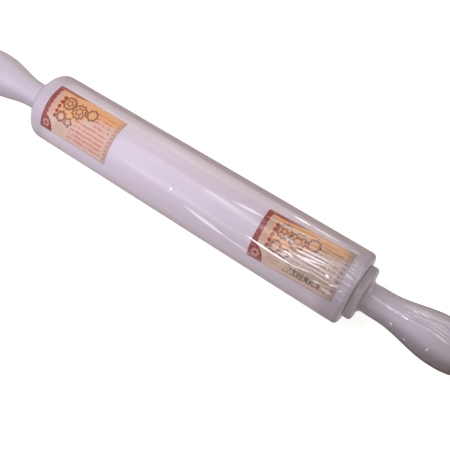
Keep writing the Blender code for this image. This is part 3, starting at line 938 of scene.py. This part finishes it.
# The handles' creases, painted the same way: the first four paint a highlight streak along the
# neck, and the three steep short ones low at the front paint highlight specks
HANDLE_CREASE_GLINTS = (
    (203, 73.8, 220, 71.4, 3.0, 0.28),
    (215, 71.8, 229, 71.6, 2.3, 0.5),
    (225, 71.6, 237, 72.3, 2.2, 0.42),
    (232.5, 72.4, 242, 66.8, 1.8, 0.38),
    (236, 78.3, 244, 75.7, 1.0, 0.5),
    (237.5, 86.9, 243, 84.2, 1.0, 0.45),
    (240.5, 99.1, 247, 95.4, 1.1, 0.8),
    (245.5, 100.6, 256, 98.5, 1.0, 0.5),
    (245, 110.3, 257, 110.6, 1.1, 0.4),
    (254, 72.2, 269, 70.2, 1.6, 0.3),
    (265, 70.7, 280, 66.2, 1.5, 0.5),
    (257, 102.8, 276, 103.0, 0.9, 0.4),
    (255, 94.4, 277, 91.8, 0.9, 0.4),
    (254, 88.6, 279, 81.9, 0.9, 0.4),
    (254, 82.0, 279, 74.8, 0.9, 0.35),
    (268, 108.9, 274, 109.4, 1.1, 0.6),
    (230, 29.0, 233, 24.6, 1.1, 0.95),
    (246, 13.3, 249, 8.2, 0.9, 0.8),
    (268, 36.2, 267.2, 26.0, 1.0, 0.7),
    (244, -60, 276, -66, 1.2, 0.6),
    (238, 160, 270, 168, 1.2, 0.6),
)


def crease_glint_lines(board, flat, crease_glints, radius):
    """The listed creases as one mask of painted highlight lines on a round place's flat
    millimetres.
    """
    degree = radians(1) * radius / MM
    total = 0.0
    for x, turn, last_x, last_turn, width, strength in crease_glints:
        feeds = {
            "Place": flat,
            "Start": (x, turn * degree, 0.0),
            "End": (last_x, last_turn * degree, 0.0),
            "Width": width,
        }
        line = board.times(board.group("Crease", feeds)["Mask"], strength)
        total = board.most(total, line)
    return total


def wrinkles(board, place, pattern):
    feeds = {"Vector": place, **dict(zip(WRINKLE_SETTINGS, pattern))}
    return board.group("Wrinkles", feeds)["Mask"]


def film_place(board, radius):
    """A place on even and on flat film, and its degrees up from the front."""
    place = board.group("Round place", {"Axis height": AXIS_HEIGHT, "Radius": radius})
    turn = board.split(place["Flat"])[1]
    return place["Even"], place["Flat"], board.over(turn, radians(1) * radius / MM)


def barrel_glints_and_shade(board):
    even, flat, degrees = film_place(board, BARREL_RADIUS)
    along, turn = board.split(flat)[:2]
    length = board.absolute(along)
    end = BARREL_END / MM
    total = crease_glint_lines(board, flat, BARREL_CREASE_GLINTS, BARREL_RADIUS)

    spread = board.over(board.less(turn, FAN_UP), board.less(along, FAN_ALONG))
    fan = board.scale(board.join(along, board.times(spread, FAN_SPREAD)), MM)
    near_label = board.times(
        board.ramp(along, *FAN_STRETCH), board.between(degrees, *FAN_SECTOR), FAN_STRENGTH
    )
    fan_lines = board.times(wrinkles(board, fan, FAN_WRINKLES), near_label)
    right = board.ramp(along, *FINE_STRETCH)
    fine = board.times(wrinkles(board, even, FINE_WRINKLES), right)
    front = board.times(board.between(degrees, *SHORT_SECTOR), board.ramp(along, *RIGHT_HALF))
    short = board.times(
        wrinkles(board, even, SHORT_WRINKLES),
        board.ramp(length, *SHOULDER_STRETCH),
        board.line(front, *SHORT_STRENGTH),
    )
    # The wrinkles give bumps and also painted highlight lines
    relief = board.most(fan_lines, fine, short)

    # Painted light that lifts the shaded end edge and end face
    end_light = board.ramp(length, end - 2.5, end, 0.0, 0.22)
    # Painted soft highlight streaks along the barrel
    stretched = board.vector("MULTIPLY", even, STREAK_HIGHLIGHT_SCALE)
    streak_highlights = board.ramp(board.noise(stretched, 1.0, detail=1.0), 0.5, 0.72, 0.0, 0.09)
    # A painted highlight band on the barrel's upper side
    upper = board.times(board.between(degrees, *UPPER_HIGHLIGHT_SECTOR), UPPER_HIGHLIGHT_STRENGTH)
    total = board.most(total, relief, end_light, streak_highlights, upper)
    # Painted shade on the shoulders, weaker on the left
    shoulder_shade = board.times(
        board.ramp(length, *SHOULDER_SHADE_STRETCH),
        board.ramp(along, *SHOULDER_SHADE_SIDES),
        board.ramp(length, end - 4.5, end - 0.5, 1.0, 0.3),
    )
    # Painted shade along the barrel's upper side, and on the shoulders
    painted_shade = board.most(board.between(degrees, *UPPER_SHADE_SECTOR), shoulder_shade)
    # Less painted dark reflection at the very ends
    sheen = board.ramp(length, end - 1.0, end, 1.0, 0.3)
    return total, painted_shade, relief, sheen


def handle_glints_and_shade(board):
    even, flat, degrees = film_place(board, HANDLE_FILM_RADIUS)
    along = board.split(flat)[0]
    length = board.absolute(along)
    total = crease_glint_lines(board, flat, HANDLE_CREASE_GLINTS, HANDLE_FILM_RADIUS)
    # The fine wrinkles give bumps and also painted highlight lines, most at the front of the
    # right grip
    right = board.times(board.between(degrees, *GRIP_SECTOR), board.ramp(along, *RIGHT_HALF))
    fine = board.times(
        wrinkles(board, even, HANDLE_WRINKLES),
        board.ramp(length, *GRIP_STRETCH),
        board.line(right, *GRIP_STRENGTH),
    )
    # Painted light on the collars and fillets
    total = board.most(total, fine, board.ramp(length, *NECK_LIGHT_STRETCH))
    # Painted shade under both handles, growing towards the right grip's end, and on the collars
    under_shade = board.between(degrees, *UNDER_SHADE_SECTOR)
    painted_shade = board.times(under_shade, board.ramp(along, *UNDER_SHADE_STRETCH))
    painted_shade = board.most(painted_shade, board.ramp(length, *COLLAR_SHADE_STRETCH))
    # How much painted dark reflection the edges get: most on the grips and collar rims, little on
    # the fillets, less on the left handle
    sheen = board.most(board.ramp(length, *GRIP_SHEEN), board.ramp(length, *COLLAR_SHEEN))
    sheen = board.times(sheen, board.ramp(along, *SHEEN_SIDES))
    return total, painted_shade, fine, sheen


def steel_material(name, tint, rough, rings, stains):
    feeds = {"Colour": tint, "Roughness": rough, "Rings": rings, "Stains": stains}
    return finished_material(name, "Turned steel", feeds, STEEL_RELIEF, Metallic=1.0)


def cage_plastic():
    tint = chosen("steel").cage
    feeds = {"Colour": tint, "Roughness": 0.5, "Cloud size": 120.0, "Clouding": 0.08}
    return finished_material(
        "cage_plastic", "Moulded plastic", feeds, SKIN_RELIEF, Specular_IOR_Level=0.4
    )


def mesh_of(bm, name):
    """A smooth mesh of the finished faces."""
    mesh = bpy.data.meshes.new(name)
    bm.to_mesh(mesh)
    bm.free()
    mesh.shade_smooth()
    return mesh


def add_object(name, mesh, material):
    obj = bpy.data.objects.new(name, mesh)
    bpy.context.scene.collection.objects.link(obj)
    mesh.materials.clear()
    mesh.materials.append(material)
    return obj


def arc(x, r, radius, start, end, steps):
    """Points of an arc about (x, r), its angles in degrees from +x towards +r."""
    points = []
    for i in range(steps + 1):
        angle = radians(start + (end - start) * i / steps)
        points.append((x + radius * cos(angle), r + radius * sin(angle)))
    return points


def spun_piece(name, profile, segments, material, closed=False, side=1, shape=None):
    """Turns (x, r) points about the pin's axis. shape(x, r, angle) may change r."""
    bm = bmesh.new()
    corners = [bm.verts.new((x, 0, r)) for x, r in profile]
    edges = [bm.edges.new(pair) for pair in zip(corners, corners[1:])]
    if closed:
        edges.append(bm.edges.new((corners[-1], corners[0])))
    bmesh.ops.spin(
        bm,
        geom=corners + edges,
        cent=(0, 0, 0),
        axis=(1, 0, 0),
        angle=2 * pi,
        steps=segments,
        use_merge=True,
    )
    bmesh.ops.remove_doubles(bm, verts=bm.verts, dist=MERGE_DISTANCE)
    for vert in bm.verts:
        r = sqrt(vert.co.y**2 + vert.co.z**2)
        if shape and r > 0:
            angle = atan2(vert.co.z, -vert.co.y)
            new = shape(vert.co.x, r, angle)
            vert.co.y *= new / r
            vert.co.z *= new / r
        vert.co.x *= side
        vert.co.z += AXIS_HEIGHT
    bmesh.ops.recalc_face_normals(bm, faces=bm.faces)
    mesh = mesh_of(bm, name)
    mesh.set_sharp_from_angle(angle=SHARP_ANGLE)
    return add_object(name, mesh, material)


def barrel_profile():
    settings = chosen("barrel")
    outside = BARREL_RADIUS - settings.film_room
    end = BARREL_END - SHELL_BACK
    edge = settings.edge_round
    right = arc(end - edge, outside - edge, edge, 90, 0, EDGE_STEPS)
    groove = BARREL_END - GROOVE_BACK
    right += [
        (end, SEAT_RADIUS + MOUTH_CHAMFER),
        (end - MOUTH_CHAMFER, SEAT_RADIUS),
        (groove + GROOVE_WIDTH, SEAT_RADIUS),
        (groove + GROOVE_WIDTH, GROOVE_RADIUS),
        (groove, GROOVE_RADIUS),
        (groove, SEAT_RADIUS),
        (BARREL_END - SEAT_DEPTH, SEAT_RADIUS),
        (BARREL_END - SEAT_DEPTH, BORE_RADIUS),
    ]
    return right + mirrored(right)


def mirrored(points):
    """The same outline at the left end, in the order that carries it on."""
    return [(-x, r) for x, r in reversed(points)]


def ease(part):
    return part * part * (3 - 2 * part)


def dome(start_radius, end_radius, steps):
    """Points of the grip's rounded end, a quarter ellipse, between two of its radii."""
    settings = chosen("handle")
    grip = settings.grip_radius
    begin = dome_begin()
    reach = HANDLE_REACH - begin
    first = sqrt(1 - (start_radius / grip) ** 2)
    last = sqrt(1 - (end_radius / grip) ** 2)
    points = []
    for i in range(steps + 1):
        part = first + (last - first) * sin(pi / 2 * i / steps)
        points.append((begin + part * reach, grip * sqrt(max(0.0, 1 - part**2))))
    return points


def dome_begin():
    settings = chosen("handle")
    grip_start = settings.collar_thickness + settings.neck_length
    return grip_start + settings.swell_length + settings.belly_length


def handle_outline(fillet, end_radius):
    """The handle's outside, from the collar's edge at the barrel to a radius of its end."""
    settings = chosen("handle")
    collar, neck = settings.collar_radius, settings.neck_radius
    back, front = settings.collar_back, settings.collar_front
    thick = settings.collar_thickness
    outline = arc(back, collar - back, back, 180, 90, EDGE_STEPS // 2)
    outline += arc(thick - front, collar - front, front, 90, 0, EDGE_STEPS)
    outline += arc(thick + fillet, neck + fillet, fillet, 180, 270, FILLET_STEPS)
    start = thick + settings.neck_length
    for i in range(SWELL_STEPS + 1):
        part = i / SWELL_STEPS
        r = neck + (settings.grip_radius - neck) * ease(part)
        outline.append((start + settings.swell_length * part, r))
    swell_end = outline[-1]
    for i in range(1, BELLY_STEPS):
        x = swell_end[0] + settings.belly_length * i / BELLY_STEPS
        outline.append((x, swell_end[1]))
    return outline + dome(settings.grip_radius, end_radius, DOME_STEPS)


def handle_profile():
    outline = handle_outline(chosen("handle").neck_fillet, SOCKET_RADIUS)
    points = [(0.0, HANDLE_BORE), *outline, (NUT_SEAT, SOCKET_RADIUS), (NUT_SEAT, HANDLE_BORE)]
    return [(HANDLE_FACE + x, r) for x, r in points]


def cap_profile():
    """A hollow cap, its head carrying on the grip's rounding, with the mould's gate mark."""
    head = dome(PLUG_RADIUS, GATE_RADIUS, CAP_STEPS)
    gate = head[-1][0] - GATE_DEPTH
    ceiling = head[0][0] - PLUG_WALL
    start = PLUG_LOW.x - HANDLE_FACE
    points = [
        (ceiling, 0.0),
        (ceiling, PLUG_RADIUS - PLUG_WALL),
        (start, PLUG_RADIUS - PLUG_WALL),
        (start, PLUG_RADIUS - PLUG_LEAD),
        (start + PLUG_LEAD, PLUG_RADIUS),
        *head,
        (gate, GATE_RADIUS * 0.75),
        (gate, 0.0),
    ]
    return [(HANDLE_FACE + x, r) for x, r in points]


def label_mesh(side):
    """A thin sheet bent round the barrel over its packed label, with a map in millimetres."""
    settings = chosen("label")
    radius = BARREL_RADIUS - chosen("barrel").film_room + settings.lift
    low, high = LABEL_BOXES[side]
    corners = []
    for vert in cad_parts["label_" + side].data.vertices:
        corners.append(atan2(vert.co.z - AXIS_HEIGHT, -vert.co.y))
    first, last = min(corners), max(corners)
    design = ((high.x - low.x) / MM, (last - first) * radius / MM)
    middle = (low.x + high.x) / 2
    slant = settings.slant if side == "right" else 0.0
    width = design[1] * MM + 2 * settings.margin
    length = design[0] * MM + 2 * settings.margin
    columns, rows = round(length / LABEL_CELL), round(width / LABEL_CELL)
    bm = bmesh.new()
    layer = bm.loops.layers.uv.new("label_mm")
    flat, grid = {}, []
    for j in range(rows + 1):
        line = []
        for i in range(columns + 1):
            s, t = round_corner(length * i / columns, width * j / rows, length, width)
            along, up = s - length / 2, t - width / 2
            x = middle + along * cos(slant) - up * sin(slant)
            turn = (first + last) / 2 + (up * cos(slant) + along * sin(slant)) / radius
            vert = bm.verts.new((x, -radius * cos(turn), AXIS_HEIGHT + radius * sin(turn)))
            flat[vert] = (s / length * design[0], t / width * design[1])
            line.append(vert)
        grid.append(line)
    for lower, upper in zip(grid, grid[1:]):
        for a, b, c, d in zip(lower, lower[1:], upper[1:], upper):
            face = bm.faces.new((a, b, c, d))
            for loop in face.loops:
                loop[layer].uv = flat[loop.vert]
    return mesh_of(bm, "label_sheet_" + side)


def round_corner(s, t, length, width):
    """Pulls a point of the label's grid inside its rounded corners."""
    corner = chosen("label").corner
    middle_s = min(max(s, corner), length - corner)
    middle_t = min(max(t, corner), width - corner)
    ds, dt = s - middle_s, t - middle_t
    away = sqrt(ds * ds + dt * dt)
    if away <= corner:
        return s, t
    return middle_s + ds * corner / away, middle_t + dt * corner / away


def barrel_film_profile():
    """Off the collar, up the end face, over the edge, along the barrel and back."""
    film, handle, barrel = chosen("film"), chosen("handle"), chosen("barrel")
    outside = BARREL_RADIUS - barrel.film_room + film.clearance
    end = BARREL_END - SHELL_BACK + film.clearance
    edge = barrel.edge_round
    lip = handle.collar_radius + film.lip
    right = [(end + handle.collar_back + LIP_REACH, lip), (end + LIP_REACH, lip + LIP_RISE)]
    right.append((end, lip + LIP_ROUND))
    right += arc(end - edge, outside - edge, edge, 0, 90, EDGE_STEPS)
    x = end - edge
    while x > FILM_STEP:
        x -= FILM_NEAR_STEP if x > BARREL_END - FINE_REACH else FILM_STEP
        right.append((x, outside))
    return right + mirrored(right)


def barrel_film_shape(x, r, angle):
    """Puckers round the end edges that die out along the barrel."""
    film = chosen("film")
    start = BARREL_END - chosen("barrel").edge_round
    inward = max(0.0, start - abs(x))
    fade = PUCKER_BASE ** (-inward / PUCKER_REACH)
    flip = 1.3 if x > 0 else 2.1
    wave = sin(53 * angle + flip) + 0.7 * sin(71 * angle + 2 * flip) + 0.5 * sin(37 * angle)
    slow = 0.15 * sin(5 * angle + x * 30) + 0.1 * sin(9 * angle - x * 47)
    return r - film.pucker * (0.25 + fade * (0.5 - 0.22 * wave) + slow)


def handle_film_profile():
    """The handle's outside, moved out by the film's clearance."""
    film = chosen("film")
    outline = handle_outline(chosen("handle").neck_fillet + FILLET_ROOM, film.opening)
    moved = []
    for i, point in enumerate(outline):
        before, after = outline[max(0, i - 1)], outline[min(len(outline) - 1, i + 1)]
        run = Vector((after[0] - before[0], after[1] - before[1])).normalized()
        moved.append((point[0] - run.y * film.clearance, point[1] + run.x * film.clearance))
    return [(HANDLE_FACE + x, r) for x, r in moved[1:]]


def handle_film_shape(x, r, angle):
    """Puckers where the film gathers at the neck, spreading out over the grip."""
    along = x - HANDLE_FACE
    begin = chosen("handle").collar_thickness + GATHER_START
    rise = ease(min(1.0, max(0.0, (along - begin) / GATHER_LENGTH)))
    fall = 1 - ease(min(1.0, max(0.0, (along - SPREAD_START) / SPREAD_LENGTH)))
    twist = angle + 2.2 * along
    ridge = abs(sin(11 * twist)) ** 3 + 0.6 * abs(sin(17 * twist + 1)) ** 3
    return r + chosen("film").neck_pucker * rise * fall * 0.4 * ridge


class ROLLINGPIN_OT_barrel(bpy.types.Operator):
    """Makes the barrel's finer mesh in milky plastic"""

    bl_idname = "rolling_pin.barrel"
    bl_label = "Barrel"

    def execute(self, context):
        plastic = barrel_plastic()
        obj = spun_piece("barrel_shell", barrel_profile(), BARREL_SEGMENTS, plastic, closed=True)
        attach(obj, "roller")
        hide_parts("roller_barrel")
        return {"FINISHED"}


class ROLLINGPIN_OT_labels(bpy.types.Operator):
    """Makes the two printed labels"""

    bl_idname = "rolling_pin.labels"
    bl_label = "Labels"

    def execute(self, context):
        for side in SIDES:
            obj = add_object("label_sheet_" + side, label_mesh(side), label_paper(side))
            solid = obj.modifiers.new("thickness", "SOLIDIFY")
            solid.thickness = chosen("label").thickness
            solid.offset = -1.0
            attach(obj, "roller")
            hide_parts("label_" + side)
        return {"FINISHED"}


class ROLLINGPIN_OT_handles(bpy.types.Operator):
    """Makes both handles and their end caps in milky plastic"""

    bl_idname = "rolling_pin.handles"
    bl_label = "Handles and caps"

    def execute(self, context):
        plastic = handle_plastic()
        grip_points, cap_points = handle_profile(), cap_profile()
        for side, sign in SIDES.items():
            name = "handle_grip_" + side
            grip = spun_piece(name, grip_points, HANDLE_SEGMENTS, plastic, True, sign)
            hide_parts("handle_" + side)
            name = "handle_cap_" + side
            cap = spun_piece(name, cap_points, CAP_SEGMENTS, plastic, False, sign)
            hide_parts("end_plug_" + side)
            for obj in (grip, cap):
                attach(obj, "handles")
        return {"FINISHED"}


class ROLLINGPIN_OT_film(bpy.types.Operator):
    """Lays clear shrink film, with painted highlights and painted shade, over the barrel and over
    each handle
    """

    bl_idname = "rolling_pin.film"
    bl_label = "Shrink film"

    def execute(self, context):
        film = chosen("film")
        tones = film.shade, film.rim, film.outline, film.layer
        clear = film_material("film_barrel", barrel_glints_and_shade, *tones)
        profile, shape = barrel_film_profile(), barrel_film_shape
        obj = spun_piece("film_barrel", profile, FILM_SEGMENTS, clear, shape=shape)
        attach(obj, "roller")
        tones = film.grip_shade, film.grip_rim, film.grip_outline
        clear = film_material("film_handle", handle_glints_and_shade, *tones)
        profile, shape = handle_film_profile(), handle_film_shape
        for side, sign in SIDES.items():
            name = "film_handle_" + side
            obj = spun_piece(name, profile, HANDLE_FILM_SEGMENTS, clear, False, sign, shape)
            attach(obj, "handles")
        return {"FINISHED"}


class ROLLINGPIN_OT_metal(bpy.types.Operator):
    """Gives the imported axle, fastenings and bearings their steel and cage finishes"""

    bl_idname = "rolling_pin.metal"
    bl_label = "Axle, fastenings and bearings"

    def execute(self, context):
        settings = chosen("steel")
        turned = steel_material("turned_steel", settings.turned, 0.30, 2500.0, 0.25)
        stamped = steel_material("stamped_steel", settings.turned, 0.36, 900.0, 0.35)
        polished = steel_material("bearing_steel", settings.bearing, 0.10, 6000.0, 0.06)
        shields = "bearing_front_shield", "bearing_back_shield"
        finishes = (
            (turned, ("axle", "spacer_bush", "nut")),
            (stamped, ("washer", "retaining_ring", *shields)),
            (polished, ("bearing_outer_ring", "bearing_inner_ring", "bearing_ball")),
            (cage_plastic(), ("bearing_cage",)),
        )
        for name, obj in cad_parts.items():
            for material, starts in finishes:
                if name.startswith(starts):
                    for slot in obj.material_slots:
                        slot.material = material
        return {"FINISHED"}


class ROLLINGPIN_OT_stage(bpy.types.Operator):
    """Sets the floor, the soft lights and the camera"""

    bl_idname = "rolling_pin.stage"
    bl_label = "Stage"

    def execute(self, context):
        settings = chosen("stage")
        add_floor(settings)
        add_world(context.scene, settings)
        add_lights(settings)
        add_camera(context.scene, settings)
        context.scene.view_settings.view_transform = "Standard"
        return {"FINISHED"}


def seen_directly(board):
    """1 for camera rays and for what shiny and clear surfaces show."""
    rays = board.add("ShaderNodeLightPath").outputs
    seen = board.most(rays["Is Camera Ray"], rays["Is Glossy Ray"])
    return board.most(seen, rays["Is Transmission Ray"])


def add_floor(settings):
    bm = bmesh.new()
    bmesh.ops.create_grid(bm, x_segments=8, y_segments=8, size=FLOOR_HALF)
    mesh = bpy.data.meshes.new("floor")
    bm.to_mesh(mesh)
    bm.free()
    material, board, shader = new_material(
        "floor",
        Roughness=0.9,
        Specular_IOR_Level=0.0,
        Emission_Color=FLOOR_GLOW,
    )
    grain = board.noise(board.place(), 9.0, detail=3.0)
    shade = board.line(grain, 0.02, 0.99)
    tint = board.vector("MULTIPLY", tuple(settings.floor), board.join(shade, shade, shade))
    board.feed(shader.inputs["Base Color"], tint)
    lift = board.times(seen_directly(board), settings.floor_lift)
    board.feed(shader.inputs["Emission Strength"], lift)
    floor = add_object("floor", mesh, material)


def add_world(scene, settings):
    world = bpy.data.worlds.new("soft_room")
    world.use_nodes = True
    board = NodeBoard(world.node_tree)
    background = world.node_tree.nodes["Background"]
    seen = seen_directly(board)
    board.feed(background.inputs["Color"], board.mix(seen, settings.fill, (1.0, 1.0, 1.0)))
    fill = settings.fill_strength
    board.feed(background.inputs["Strength"], board.line(seen, 1.0 - fill, fill))
    scene.world = world


def add_softbox(name, place, width, power, tint):
    """A square lamp that faces the barrel's middle."""
    lamp = bpy.data.lights.new(name, "AREA")
    lamp.shape = "SQUARE"
    lamp.size = width
    lamp.energy = power
    lamp.color = tint
    obj = bpy.data.objects.new(name, lamp)
    obj.location = place
    direction = Vector((0.0, 0.0, AXIS_HEIGHT)) - Vector(place)
    obj.rotation_euler = direction.to_track_quat("-Z", "Y").to_euler()
    obj.visible_camera = False
    bpy.context.scene.collection.objects.link(obj)


def add_lights(settings):
    for name, (place, width, tint) in SOFTBOXES.items():
        add_softbox(name + "_softbox", place, width, getattr(settings, name + "_power"), tint)


def add_camera(scene, settings):
    data = bpy.data.cameras.new("photo_view")
    data.lens = settings.lens
    data.sensor_width = FRAME_WIDTH
    camera = bpy.data.objects.new("photo_view", data)
    camera.location = settings.camera_place
    camera.rotation_euler = Euler(settings.camera_turn)
    scene.collection.objects.link(camera)
    scene.camera = camera


class ROLLINGPIN_PT_panel(bpy.types.Panel):
    """Lists the settings and the steps in the order in which they run"""

    bl_idname = "ROLLINGPIN_PT_panel"
    bl_label = "Rolling pin"
    bl_space_type = "VIEW_3D"
    bl_region_type = "UI"
    bl_category = "Rolling pin"

    def draw(self, context):
        for operator, group, kind in STEPS:
            box = self.layout.box()
            box.operator(operator.bl_idname)
            for name in kind.bl_rna.properties.keys():
                if name not in ("rna_type", "name"):
                    box.prop(chosen(group), name)


# Each step's operator, and the name and kind of its settings
STEPS = (
    (ROLLINGPIN_OT_barrel, "barrel", BarrelSettings),
    (ROLLINGPIN_OT_labels, "label", LabelSettings),
    (ROLLINGPIN_OT_handles, "handle", HandleSettings),
    (ROLLINGPIN_OT_film, "film", FilmSettings),
    (ROLLINGPIN_OT_metal, "steel", SteelSettings),
    (ROLLINGPIN_OT_stage, "stage", StageSettings),
)


def register():
    for operator, group, kind in STEPS:
        bpy.utils.register_class(kind)
        setattr(bpy.types.Scene, "rolling_pin_" + group, PointerProperty(type=kind))
        bpy.utils.register_class(operator)
    bpy.utils.register_class(ROLLINGPIN_PT_panel)


def unregister():
    bpy.utils.unregister_class(ROLLINGPIN_PT_panel)
    for operator, group, kind in STEPS:
        bpy.utils.unregister_class(operator)
        delattr(bpy.types.Scene, "rolling_pin_" + group)
        bpy.utils.unregister_class(kind)


def main():
    register()
    add_groups()
    bpy.ops.rolling_pin.barrel()
    bpy.ops.rolling_pin.labels()
    bpy.ops.rolling_pin.handles()
    bpy.ops.rolling_pin.film()
    bpy.ops.rolling_pin.metal()
    bpy.ops.rolling_pin.stage()


if __name__ == "__main__":
    main()
